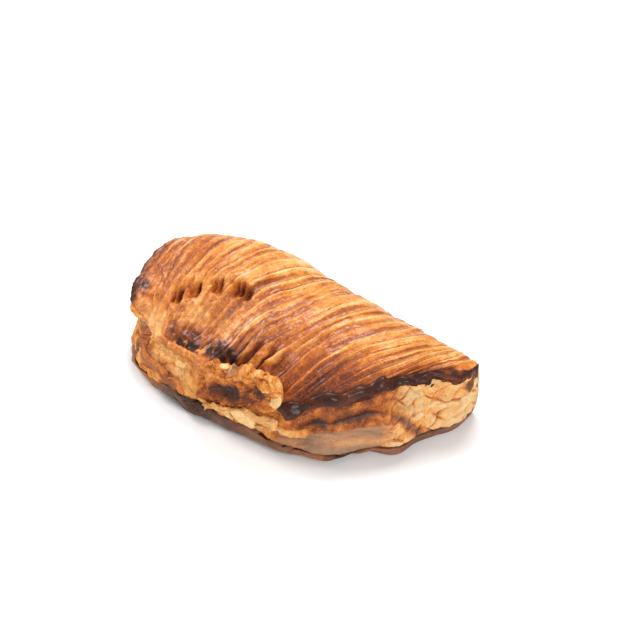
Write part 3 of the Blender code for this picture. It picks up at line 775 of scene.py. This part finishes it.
def side_points(r, h):
    """Layered edge, from the base (h = 0) to the underside of the rim (h = 1)."""
    x, y = front_edge(r)
    foot = foot_height(x)
    z = foot + (RIM_Z - RIM_THICKNESS - droop(x) - TIP_DROOP * near_tip(r) - foot) * h
    uneven = 1.3 * noise(x / 11, y / 11, h * 1.5, 3) * (1 - 0.6 * smooth(0.5, 1, h))
    return shifted(front_edge, r, 1, edge_offset(x, h) + uneven, z)


BASE_PLACES = (-62, -34, -16, 8, 20, 30, 42, 52, 74)
BASE_THICKNESSES = (1.4, 2.4, 6.5, 6.5, 3.8, 3.2, 2.2, 1.0, 1.0)


def base_thickness(x):
    """Height of the dark base over its foot, from the left tip to the right."""
    thick = np.interp(x, BASE_PLACES, BASE_THICKNESSES)
    return thick + 0.5 * noise(x / 8, 0, 0, 121) + 0.3 * noise(x / 2.5, 0, 0, 122)


rows = even_rows(EDGE_ROWS, front_edge)
edge_steps = np.linspace(0, 1, EDGE_STEPS)
side = block(side_points, rows, edge_steps)
sx, sy = front_edge(rows)
nx, ny = outward(front_edge, rows, 1)
depth = EDGE_DEPTH * (1 - near_tip(rows)) + 1.0
inward = np.stack([-nx * depth, -ny * depth, 0 * nx], -1)
top_in, foot_in = side[:, -1:] + inward, side[:, :1] + inward
back_steps = np.linspace(0, 1, BACK_STEPS)[None, :, None]
behind = top_in + (foot_in - top_in) * back_steps
side_grid = np.concatenate([side, behind], axis=1)
shown = np.concatenate([np.ones(EDGE_STEPS), np.zeros(BACK_STEPS)])[None, :]
height = np.concatenate([edge_steps, np.linspace(1, 0, BACK_STEPS)])[None, :]
gx, gy, gz = side_grid[..., 0], side_grid[..., 1], side_grid[..., 2]
run = np.cumsum(np.hypot(np.gradient(sx, axis=0), np.gradient(sy, axis=0)), axis=0)

# Flaky at the left, under the torn lip and at the right tip; smooth and hollow in between.
wander = noise(run / 9, height * 3, 0, 109)
hollow = window(24, 63, 4, sx + 3 * wander) * fading(0.47, 0.56, height + 0.03 * wander)
under_lip = window(26, 66, 4, sx) * smooth(0.46, 0.56, height + 0.03 * wander)
tip_side = smooth(60, 67, sx + 5 * (0.5 - height))
left_wall = fading(-26, -16, sx)
flaky = np.clip(1 - hollow - under_lip, 0, 1) * (1 - 0.75 * tip_side)

level = height * (LEAVES_IN_EDGE - 7 * left_wall) + 2.4 * noise(run / 26, height * 2, 0, 13)
level = level + (0.7 + 0.8 * left_wall) * noise(run / 6, height * 4, 0, 14)
leaf = np.floor(level)
within = level - leaf
proud = 0.9 * noise(run / 12, leaf * 3.7, 0, 17) + 0.6 * noise(run / 3.6, leaf * 5.3, 0, 18)
proud = proud + 0.35 * noise(run / 1.2, leaf * 7.1, 0, 19)
gap = np.exp(-((np.minimum(within, 1 - within) / 0.13) ** 2))
gap = gap * np.clip(0.25 + 0.9 * noise(run / 7, leaf * 2.3, 0, 20), 0, 1)


def plates(u, v, seed):
    """Heights of flat overlapping plates, and the cracks between them."""
    u, v = u + 0.45 * noise(u * 1.3, v * 1.3, seed, 25), v + 0.45 * noise(u * 1.3, v * 1.3, seed, 26)
    row = np.floor(v)
    u = u + 2 * noise(row * 3.7, 0, seed, 27)
    place_u, place_v = u - np.floor(u), v - row
    stands = 0.6 * noise(np.floor(u) * 3.1, row * 5.7, seed, 28)
    stands = stands + 0.7 * (0.5 - place_v) + 0.3 * (place_u - 0.5)
    open_here = np.clip(0.5 + 0.9 * noise(u * 1.7, v * 1.7, seed, 30), 0, 1)
    cracks = np.exp(-((np.minimum(place_v, 1 - place_v) / 0.09) ** 2))
    cracks = np.maximum(cracks, 0.7 * np.exp(-((np.minimum(place_u, 1 - place_u) / 0.06) ** 2)))
    return stands, cracks * open_here


stands, cracks = plates(run / 13 + gz / 9, (gz - 0.62 * run) / 4.2, 3.0)
crumble = fractal(gx / 1.8, gy / 1.8, gz / 1.8, 24)
soft = fractal(gx / 5, gy / 5, gz / 5, 21)
ledge_place = 0.66 + 0.025 * noise(run / 8, 0, 0, 103)
ledge = hump(ledge_place, 0.03, height) * window(36, 64, 3, sx)
step = smooth(0.42, 0.44, height + 0.02 * noise(run / 3, 0, 0, 104))
step = step * window(24.5, 36, 1.2, sx) * (height < 0.62)
spread = np.sin(np.pi * np.clip(height, 0.02, 0.98)) ** 0.5
side_relief = spread * (flaky * (0.95 * proud - 0.8 * gap) + 0.7 * ledge + 0.9 * step)
side_relief = side_relief + spread * tip_side * (2.1 * stands - 0.8 * cracks + 0.7 * soft)
side_relief = side_relief + 0.3 * crumble * (1 - 0.7 * hollow) + 0.6 * soft * (1 - 0.3 * hollow)
side_relief = side_relief + left_wall * smooth(0.3, 0.6, height) * 0.9 * crumble
waves = fractal(run / 14 + height * 3, height * 7, 0, 23)
side_relief = side_relief + hollow * (0.9 * waves + 0.2 * crumble)
fibres = fractal(run / 9, height * 22, 0, 116)
side_relief = side_relief + 0.4 * hollow * fibres
behind_lip = window(-11, 25, 2, sx) * smooth(0.3, 0.42, height)
side_relief = side_relief - 1.8 * behind_lip
overhang = hump(0.52, 0.05, height + 0.05 * wander) * window(28, 60, 4, sx) * (0.6 + 0.8 * crumble)
side_relief = side_relief + 0.9 * overhang
behind_base = base_thickness(sx) / (RIM_Z - RIM_THICKNESS - droop(sx) - foot_height(sx))
side_relief = side_relief - 1.4 * fading(-0.05, 0.03, height - behind_base)
side_grid = raised(side_grid, side_relief * shown)
side_grid[..., 2] = np.maximum(side_grid[..., 2], 0.0)

tone = 0.5 + 0.5 * noise(run / 14, leaf * 3.1, 0, 101)
side_bake = 0.22 + 0.16 * tone + 0.1 * crumble + 0.1 * soft
# The gaps between the leaves are darkened in colour: painted shade between them.
side_bake = side_bake + flaky * (0.3 * gap + 0.08 * np.clip(proud, -1, 1))
side_bake = side_bake + under_lip * (0.27 + 0.2 * soft + 0.12 * crumble) + 0.2 * ledge
side_bake = side_bake + 0.2 * hump(ledge_place + 0.05, 0.1, height) * window(36, 60, 6, sx)
side_bake = side_bake + 0.4 * hump(0.98, 0.06, height) * window(26, 66, 4, sx) - 0.25 * step
diagonal = fractal(run / 12 + height * 3, height * 7, 0, 112)
# The hollow is darkened as painted shade, least towards the right, with a painted shade line along its top
# under the overhang; it is also darker towards its bottom.
side_bake = side_bake + hollow * (0.44 - 0.12 * smooth(44, 58, sx) + 0.55 * diagonal)
side_bake = side_bake + 0.18 * hump(0.46, 0.07, height) * hollow * fading(44, 54, sx)
side_bake = side_bake + 0.22 * hump(0.08, 0.1, height) * hollow * fading(50, 58, sx)
side_bake = side_bake + 0.2 * hollow * fibres
crease = hump(67, 1.5, sx + 9 * (height - 0.5) + 0.8 * wander) * fading(0.5, 0.7, height)
side_bake = side_bake + 0.6 * crease + tip_side * (0.75 * cracks - 0.16 - 0.16 * stands)
side_bake = side_bake + left_wall * (0.24 * hump(0.42, 0.13, height) - 0.1 * smooth(0.55, 0.8, height))
side_bake = side_bake + left_wall * (0.5 * np.clip(soft, 0, 1) - 0.06)
side_bake = side_bake + 0.4 * fading(0, 0.09, height)
smudge = hump(51, 6.5, sx) * hump(0.88, 0.05, height + 0.05 * noise(run / 5, 0, 0, 107))
spot = hump(42.5, 2.6, sx) * hump(0.61, 0.06, height + 0.03 * soft)
hole = left_wall * hump(0.45, 0.1, height) * smooth(0.15, 0.5, fractal(run / 4, height * 5, 0, 115))
broken = smooth(-0.6, -0.1, fractal(run / 3, height * 12, 0, 113))
side_char = (0.85 * smudge + 0.85 * spot) * broken + 0.6 * hole
side_raw = 0.5 * hollow + 0.3 * tip_side * np.clip(0.5 + stands, 0, 1)
side_raw = side_raw + 0.35 * left_wall * hump(0.45, 0.14, height) + 0.06
side_glaze = 0.1 + 0.6 * ledge + 0.5 * side_char
side_masks = {"bake": side_bake, "raw": side_raw * shown, "char": side_char * shown, "glaze": side_glaze}
edge = ringed_piece("layered_edge", side_grid, side_masks)
edge.data.materials.append(dough_material("flaky_leaves", 0.28, 0.7, 0.2, specular=0.25))
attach(edge, "root")
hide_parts("pastry")


# ---------------------------------------------------------------- base crust
# The lower sheet of dough, which lay on the hot tray: thin, hard and dark brown, thickest where it
# curls up at the left of the front.

BASE_ROWS = 500
BASE_STEPS, SOLE_STEPS, LID_STEPS, CURL_STEPS = 26, 20, 6, 10


def base_side(r, t):
    """Rim of the base crust from its foot (t = 0) to its upper edge (t = 1)."""
    x, y = front_edge(r)
    proud = 0.3 * np.sin(np.pi * np.clip(0.15 + 0.85 * t, 0, 1)) ** 0.5 - 0.4 * (1 - t) ** 3
    offset = edge_offset(x, 0) + proud + 1.3 * noise(x / 11, y / 11, 0, 3)
    return shifted(front_edge, r, 1, offset, foot_height(x) + base_thickness(x) * t)


rows = even_rows(BASE_ROWS, front_edge, fold_edge)
rim = block(base_side, rows, np.linspace(0, 1, BASE_STEPS))
heel_foot = block(heel_points, rows, np.array([1.0]))
nx, ny = outward(front_edge, rows, 1)
inset = (0.8 * sole_inset(rows))[..., None]
flat_front = rim[:, :1] - np.stack([nx, ny, 0 * nx], -1) * inset
flat_front[..., 2] = 0.0
sole_steps = np.linspace(0, 1, SOLE_STEPS + 1)[None, 1:, None]
sole = heel_foot + (flat_front - heel_foot) * sole_steps
curl_steps = np.linspace(0, 1, CURL_STEPS + 1)[None, 1:-1, None]
curl = flat_front + (rim[:, :1] - flat_front) * curl_steps
curl[..., 2] = rim[:, :1, 2] * curl_steps[..., 0] ** 2
lid_low = heel_foot + np.array([0.0, 0.0, 1.5])
lid_steps = np.linspace(0, 1, LID_STEPS + 1)[None, 1:, None]
lid = rim[:, -1:] + (lid_low - rim[:, -1:]) * lid_steps
base_grid = np.concatenate([rim, lid, sole, curl], axis=1)
gx, gy, gz = base_grid[..., 0], base_grid[..., 1], base_grid[..., 2]
hidden = np.zeros(LID_STEPS + SOLE_STEPS)
under = np.linspace(0, 1, CURL_STEPS + 1)[1:-1]
climb = np.concatenate([np.linspace(0, 1, BASE_STEPS), hidden, 0 * under])[None, :]
in_sight = np.concatenate([np.ones(BASE_STEPS), hidden, under**2])[None, :]
knobs = fractal(gx / 4, gy / 4, gz / 3, 123)
base_grid = raised(base_grid, in_sight * (0.9 * knobs + 0.5 * np.sin(np.pi * climb) - 0.2))
base_grid[..., 2] = np.maximum(base_grid[..., 2], 0.0)
base_bake = 0.82 + 0.12 * knobs + 0.05 * fractal(gx / 9, gy / 9, gz / 4, 125)
base_bake = base_bake - 0.16 * smooth(20, 40, gx) * fading(60, 66, gx) - 0.12 * fading(-40, -28, gx)
base_char = 0.4 + 0.5 * fractal(gx / 6, gy / 6, gz / 6, 127)
base_char = base_char - 0.3 * smooth(24, 34, gx) + 0.7 * hump(48, 5, gx)
base_char = base_char + 0.25 * hump(-12, 14, gx) - 0.25 * hump(16, 12, gx)
base_char = np.clip(base_char - 0.5 * fading(-44, -30, gx), 0, 1)
base_raw = 0.24 + 0.14 * fractal(gx / 4, gy / 4, gz / 2, 129)
base_masks = {"bake": base_bake, "raw": base_raw, "char": base_char, "glaze": 0.5 + 0 * base_bake}
base = ringed_piece("base_crust", base_grid, base_masks)
base.data.materials.append(dough_material("tray_browned_base", 0.2, 0.4, 0.25, specular=0.2))
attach(base, "root")
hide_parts("pastry")


# ---------------------------------------------------------------- torn lip
# A thick tongue of leaves torn loose from the rim, standing up in front of the sunken crust: pale
# and ragged along its top, burnt in two patches on its face.

LIP_ROWS = 420
FACE_STEPS, TOP_STEPS, HIDDEN_STEPS = 64, 14, 26


def leaf_grid(start, end, low, high, thickness, lean_out, count, seed, teeth, root=-1.2):
    """Rings of a standing leaf: up its face, over its torn top and down behind.

    Returns the rings and, for each point, its shares of the length and of the height.
    """
    a = np.linspace(0, 1, count)[:, None]
    up = np.concatenate([np.linspace(0, 1, FACE_STEPS), np.ones(TOP_STEPS), np.linspace(1, 0, HIDDEN_STEPS)])
    side = np.concatenate(
        [-np.ones(FACE_STEPS), np.linspace(-1, 1, TOP_STEPS + 2)[1:-1], np.ones(HIDDEN_STEPS)]
    )
    b, side = up[None, :], side[None, :]
    r = place_of(start + (end - start) * a)
    x, y = front_edge(r)
    nx, ny = outward(front_edge, r, 1)
    foot, top = low[0] + (low[1] - low[0]) * a, high[0] + (high[1] - high[0]) * a
    arch = 0.4 + 0.6 * np.clip(4 * a * (1 - a), 0, 1) ** 0.3
    torn_edge = 0.16 * noise(x / 3.5, seed, 0, 23) + teeth * fractal(x / 2, side * 1.5, seed, 131)
    z = foot + (top - foot) * b * arch * (1 + torn_edge * b)
    z = z + teeth * 12 * fractal(x / 1.8, side * 1.5, seed + 7, 133) * (1 - b) ** 2
    h = (z - foot_height(x)) / (RIM_Z - RIM_THICKNESS - droop(x) - foot_height(x))
    offset = edge_offset(x, np.clip(h, 0, 1)) + root * (1 - b) + lean_out * b**2
    offset = offset + 0.9 * noise(x / 5, z / 4, seed, 29) - side * 0.5 * thickness * (1.2 - 0.5 * b)
    ends = np.clip(np.minimum(a, 1 - a) / 0.03, 0, 1) ** 0.5
    offset = offset * ends + (edge_offset(x, np.clip(h, 0, 1)) - 0.6) * (1 - ends)
    grid = np.stack(np.broadcast_arrays(x + nx * offset, y + ny * offset, z), -1)
    return grid, a + 0 * b, b + 0 * a


def strata(a, b, length, height, leaves, seed):
    """Relief of the leaves that show on a torn face, and the gaps between them."""
    level = b * leaves + 0.8 * noise(a * length / 9, b * 2, 0, seed)
    level = level + 0.4 * noise(a * length / 3, b * 4, 0, seed + 1)
    sheet = np.floor(level)
    within = level - sheet
    out = 0.5 * noise(a * length / 6, sheet * 3.7, 0, seed + 2)
    out = out + 0.35 * noise(a * length / 1.8, sheet * 5.1, 0, seed + 3)
    gaps = np.exp(-((np.minimum(within, 1 - within) / 0.16) ** 2))
    gaps = gaps * np.clip(0.4 + 0.9 * noise(a * length / 5, sheet * 2.3, 0, seed + 4), 0, 1)
    return out, gaps


def off_ends(a):
    """0 at both ends of a leaf, 1 along the rest of it."""
    return smooth(0, 0.1, np.minimum(a, 1 - a))


flap_grid, a, b = leaf_grid(-11.5, 26.5, (12.0, 22.0), (32.0, 36.5), 4.2, -1.2, LIP_ROWS, 0.0, 0.12)
out, gaps = strata(a, b, 38.0, 18.0, 6, 141)
lumps = fractal(a * 9, b * 4, 0, 147)
fine_lumps = fractal(a * 30, b * 14, 0, 149)
flap_relief = 0.5 * out - 0.35 * gaps + 1.9 * lumps + 0.6 * fine_lumps
flap_grid = raised(flap_grid, flap_relief * off_ends(a))
patch = hump(0.34, 0.15, a + 0.15 * lumps) * hump(0.42, 0.13, b + 0.16 * fine_lumps)
patch = patch + hump(0.76, 0.12, a + 0.1 * lumps) * hump(0.5, 0.14, b + 0.16 * fine_lumps)
red = hump(0.42, 0.4, a) * hump(0.26, 0.2, b + 0.2 * lumps)
chipped = np.clip(0.2 + 1.6 * fractal(a * 10, b * 2, 0, 151), 0, 1)
# The gaps between the leaves are darkened in colour as painted shade.
flap_bake = 0.42 + 0.14 * gaps + 0.06 * out - 0.3 * lumps + 0.16 * fine_lumps + 0.5 * red
flap_bake = flap_bake + 0.42 * np.clip(patch, 0, 1)
flap_bake = flap_bake - (0.2 * smooth(0.88, 0.98, b) + 0.24 * smooth(0.93, 0.98, a)) * chipped
grained = fractal(a * 9, b * 26, 0, 153)
flap_bake = flap_bake + 0.3 * grained * np.clip(patch + 0.3, 0, 1)
flap_char = 0.7 * np.clip(patch * 1.6 - 0.75 + 1.4 * grained, 0, 1)
flap_raw = 0.6 * hump(0.44, 0.05, a) * smooth(0.8, 0.9, b) + 0.06
flap_masks = {"bake": flap_bake, "raw": flap_raw, "char": flap_char, "glaze": 0.1 + 0.7 * flap_char}
flap = ringed_piece("torn_lip", flap_grid, flap_masks)
flap.data.materials.append(dough_material("torn_leaves", 0.34, 0.7, 0.25, specular=0.2))
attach(flap, "root")
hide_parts("pastry")


# ---------------------------------------------------------------- left flange
# Lower leaves laid bare at the left where the crust slid back, bent out and browned at their edge.
# They grow out of the layered edge, just over the base.

flange_grid, a, b = leaf_grid(-58.0, -18.0, (6.0, 7.0), (14.0, 14.0), 3.0, 0.8, LIP_ROWS, 1.0, 0.16, -2.6)
out, gaps = strata(a, b, 38.0, 7.0, 4, 161)
flange_relief = 0.5 * out - 0.5 * gaps + 0.5 * fractal(a * 16, b * 4, 0, 167)
flange_grid = raised(flange_grid, flange_relief * off_ends(a))
# The gaps between the leaves are darkened in colour as painted shade.
flange_bake = 0.58 + 0.2 * gaps + 0.14 * fractal(a * 9, b * 3, 0, 169)
flange_bake = flange_bake + 0.25 * fading(0.1, 0.5, b) - 0.08 * smooth(0.8, 1, b)
flange_char = 0.35 * np.clip(1 - b * 2 + 0.4 * out, 0, 1)
flange_masks = {"bake": flange_bake, "raw": 0.15 + 0 * a * b, "char": flange_char, "glaze": 0.2 + 0 * a * b}
flange = ringed_piece("left_flange", flange_grid, flange_masks)
flange.data.materials.append(bpy.data.materials["torn_leaves"])
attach(flange, "root")
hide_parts("pastry")


# ---------------------------------------------------------------- leaves under the lip
# Pale crumpled leaves that bulge from under the torn lip, where the dough pulled apart as it rose.
# They grow out of the layered edge.

crumple_grid, a, b = leaf_grid(-9.0, 25.0, (6.0, 11.0), (13.0, 19.0), 3.2, 1.8, LIP_ROWS, 4.0, 0.12)
out, gaps = strata(a, b, 34.0, 7.0, 5, 181)
crumple_relief = 0.7 * out - 0.6 * gaps + 0.5 * fractal(a * 16, b * 4, 0, 187)
crumple_grid = raised(crumple_grid, crumple_relief * off_ends(a))
# The gaps between the leaves are darkened in colour as painted shade.
crumple_bake = 0.2 + 0.32 * gaps + 0.12 * fractal(a * 9, b * 3, 0, 189) + 0.2 * fading(0.1, 0.4, b)
crumple_masks = {"bake": crumple_bake, "raw": 0.15 + 0 * a * b, "char": 0 * a * b, "glaze": 0.1 + 0 * a * b}
crumple = ringed_piece("crumpled_leaves", crumple_grid, crumple_masks)
crumple.data.materials.append(bpy.data.materials["torn_leaves"])
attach(crumple, "root")
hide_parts("pastry")


# ---------------------------------------------------------------- loose chips
# A few scales of the top leaves that broke off and stuck to the edge and to the torn lip: thin,
# curled, ragged flakes of dry pastry.

CHIPS = (  # x along the front, height, half length, half breadth, roll, out, lean up, bake
    (1.5, 32.5, 1.9, 1.1, 0.1, -0.4, 1.4, 0.1),
    (24.6, 26.5, 3.2, 1.9, 1.25, 0.9, 0.5, 0.1),
    (21.0, 30.5, 2.4, 1.2, 0.9, 0.8, 0.8, 0.14),
    (12.5, 14.2, 5.4, 2.3, -0.25, 2.2, 0.25, 0.06),
    (2.0, 12.6, 5.8, 1.1, -0.1, 2.0, 0.25, 0.16),
    (-7.0, 11.2, 4.2, 1.0, -0.1, 1.6, 0.2, 0.22),
    (75.0, 21.0, 3.0, 1.5, 0.7, 1.6, 0.4, 0.82),
    (70.0, 14.0, 3.6, 1.5, 0.5, 0.2, 0.3, 0.24),
    (-24.0, 19.5, 3.0, 1.4, 0.2, 0.5, 0.9, 0.18),
)
CHIP_HALF_THICKNESS = 0.28

bm = bmesh.new()
layers = {mask: bm.verts.layers.float.new(mask) for mask in MASKS}
for number, (x, z, half_length, half_breadth, roll, out, lean_up, baked) in enumerate(CHIPS):
    r = place_of(np.array([[x]]))
    share_up = np.clip((z - foot_height(x)) / (RIM_Z - RIM_THICKNESS - droop(x) - foot_height(x)), 0, 1)
    px, py, _ = (float(np.ravel(v)[0]) for v in side_points(r, share_up))
    nx, ny = (float(np.ravel(v)[0]) for v in outward(front_edge, r, 1))
    face = Vector((nx, ny, lean_up)).normalized()
    along = Vector((-ny, nx, 0.0)) * math.cos(roll) + Vector((0.0, 0.0, 1.0)) * math.sin(roll)
    upright = face.cross(along).normalized()
    along = upright.cross(face)
    frame_of_chip = np.array([along, upright, face])
    centre = np.array([px + nx * out, py + ny * out, z])
    ball = bmesh.ops.create_uvsphere(bm, u_segments=48, v_segments=24, radius=1.0)
    u, v, w = np.array([vertex.co for vertex in ball["verts"]]).T
    angle = np.arctan2(v, u)
    jagged = 1 + 0.3 * noise(1.2 * np.cos(angle), 1.2 * np.sin(angle), number, 241)
    jagged = jagged + 0.14 * noise(4 * np.cos(angle), 4 * np.sin(angle), number, 242)
    u, v = u * jagged * half_length, v * jagged * half_breadth
    lift = 0.5 * noise(u / 2.5, v / 2.5, number, 243) + 0.06 * u * u * (0.4 - 0.2 * (number % 3))
    spots = centre + np.stack([u, v, CHIP_HALF_THICKNESS * w + lift], -1) @ frame_of_chip
    shade = baked + 0.14 * fractal(u / 1.5, v / 1.5, number, 245) + 0.15 * (1 - np.abs(w)) ** 3
    for vertex, spot, tint in zip(ball["verts"], placed(spots), shade):
        vertex.co = Vector(spot)
        vertex[layers["bake"]] = float(tint)
        vertex[layers["raw"]] = 0.12
        vertex[layers["glaze"]] = 0.2
chip_mesh = bpy.data.meshes.new("loose_chips")
bm.to_mesh(chip_mesh)
bm.free()
chip_mesh.shade_smooth()
chips = bpy.data.objects.new("loose_chips", chip_mesh)
bpy.context.scene.collection.objects.link(chips)
chips.data.materials.append(bpy.data.materials["torn_leaves"])
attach(chips, "root")
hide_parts("pastry")
